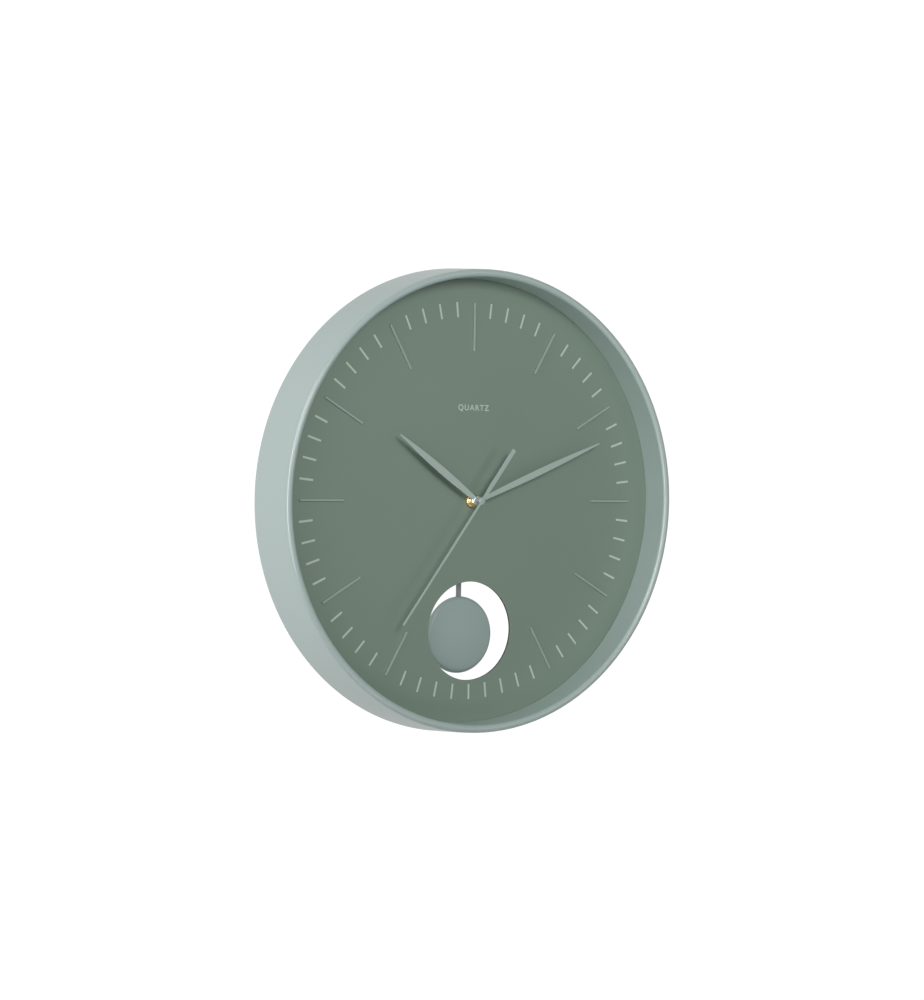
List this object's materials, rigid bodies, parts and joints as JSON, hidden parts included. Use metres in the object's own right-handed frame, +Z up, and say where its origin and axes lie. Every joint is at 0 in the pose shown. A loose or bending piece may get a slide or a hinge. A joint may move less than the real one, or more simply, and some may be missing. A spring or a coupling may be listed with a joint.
{
  "type": "pendulum wall clock",
  "caption": "Round drum-cased wall clock with a deep recessed dial, leaf hands, raised hour bars and a disc pendulum swinging behind a round window.",
  "frame": {"origin": "on the wall plane, at the centre of the round part of the hanger plate's keyhole", "axes": "+Y points back into the wall and is the axis of the case and the hands; the dial faces -Y; +Z is up; +X is to the right of someone who reads the clock"},
  "size_m": [0.4, 0.0485, 0.4],
  "materials": {
    "case_plastic": "satin sage-grey lacquer",
    "dial_paint": "matt sage-green print",
    "marker_paint": "satin pale green",
    "hand_paint": "satin pale grey-green",
    "bob_paint": "satin grey-green",
    "brass": "turned and polished",
    "bright_metal": "turned",
    "zinc_steel": "zinc plated",
    "rod_steel": "rolled strip",
    "black_plastic": "fine moulded texture",
    "knob_plastic": "fine moulded texture",
    "acetal": "natural, smooth",
    "lever_plastic": "moulded",
    "coil_wire": "enamelled copper winding",
    "soft_iron": "stamped",
    "magnet": "ferrite, matt",
    "rubber": "matt",
    "board": "green solder mask",
    "resin": "cast",
    "crystal_can": "drawn",
    "battery_jacket": "plain printed sleeve",
    "spring_steel": "nickel plated",
    "backing_card": "dark card"
  },
  "bodies": {
    "frame": {"case_shell": "case_plastic", "dial_board": "dial_paint", "hour_markers": "marker_paint", "dial_screws": "zinc_steel", "hanger_plate": "zinc_steel", "hanger_screws": "zinc_steel", "movement_front_case": "black_plastic", "movement_rear_cover": "black_plastic", "cover_screws": "zinc_steel", "threaded_bushing": "brass", "bushing_nut": "brass", "dial_washer": "rubber", "train_plate": "acetal", "plate_screws": "zinc_steel", "stator": "soft_iron", "coil_core": "soft_iron", "coil_bobbin": "acetal", "motor_coil": "coil_wire", "circuit_board": "board", "control_chip": "resin", "quartz_crystal": "crystal_can", "battery": "battery_jacket", "contact_positive": "spring_steel", "contact_negative": "spring_steel", "drive_coil": "coil_wire", "pivot_pin": "bright_metal", "pivot_retainer": "spring_steel"},
    "seconds": {"seconds_wheel": "acetal", "second_hand": "hand_paint", "second_hand_tube": "bright_metal"},
    "third": {"third_wheel": "acetal"},
    "minutes": {"centre_wheel": "acetal", "minute_hand": "hand_paint", "minute_hand_collet": "bright_metal"},
    "motion": {"motion_wheel": "acetal"},
    "hours": {"hour_wheel": "acetal", "hour_hand": "hand_paint", "hour_hand_collet": "bright_metal"},
    "fifth": {"fifth_wheel": "acetal"},
    "step_rotor": {"rotor": "acetal", "rotor_magnet": "magnet"},
    "setting": {"setting_arbor": "acetal", "setting_knob": "knob_plastic"},
    "pendulum": {"pendulum_lever": "lever_plastic", "lever_magnet": "magnet", "pendulum_rod": "rod_steel", "bob_shell": "bob_paint", "bob_backing": "backing_card", "bob_rivets": "zinc_steel"}
  },
  "joints": [
    {"name": "second_hand_turn", "type": "hinge", "parent": "frame", "child": "seconds", "pos_m": [0, -0.0125, -0.176], "axis": [0, 1, 0], "continuous": true},
    {"name": "third_wheel_turn", "type": "hinge", "parent": "frame", "child": "third", "pos_m": [0.0051, -0.0125, -0.18483], "axis": [0, 1, 0], "continuous": true},
    {"name": "minute_hand_turn", "type": "hinge", "parent": "frame", "child": "minutes", "pos_m": [0, -0.0125, -0.176], "axis": [0, 1, 0], "continuous": true},
    {"name": "motion_wheel_turn", "type": "hinge", "parent": "frame", "child": "motion", "pos_m": [0.00693, -0.0125, -0.172], "axis": [0, 1, 0], "continuous": true},
    {"name": "hour_hand_turn", "type": "hinge", "parent": "frame", "child": "hours", "pos_m": [0, -0.0125, -0.176], "axis": [0, 1, 0], "continuous": true},
    {"name": "fifth_wheel_turn", "type": "hinge", "parent": "frame", "child": "fifth", "pos_m": [0.00359, -0.0125, -0.16613], "axis": [0, 1, 0], "continuous": true},
    {"name": "rotor_turn", "type": "hinge", "parent": "frame", "child": "step_rotor", "pos_m": [0.00783, -0.0125, -0.16189], "axis": [0, 1, 0], "continuous": true},
    {"name": "setting_knob_turn", "type": "hinge", "parent": "frame", "child": "setting", "pos_m": [0.01579, -0.0125, -0.17356], "axis": [0, 1, 0], "continuous": true},
    {"name": "pendulum_swing", "type": "hinge", "parent": "frame", "child": "pendulum", "pos_m": [0, -0.0015, -0.132], "axis": [0, 1, 0], "range_deg": [-8, 8]}
  ],
  "couplings": [
    {"joint": "third_wheel_turn", "follows": "second_hand_turn", "ratio": -0.13333},
    {"joint": "minute_hand_turn", "follows": "second_hand_turn", "ratio": 0.016667},
    {"joint": "motion_wheel_turn", "follows": "second_hand_turn", "ratio": -0.0055556},
    {"joint": "hour_hand_turn", "follows": "second_hand_turn", "ratio": 0.0013889},
    {"joint": "fifth_wheel_turn", "follows": "second_hand_turn", "ratio": -6},
    {"joint": "rotor_turn", "follows": "second_hand_turn", "ratio": 30},
    {"joint": "setting_knob_turn", "follows": "second_hand_turn", "ratio": 0.011111}
  ]
}
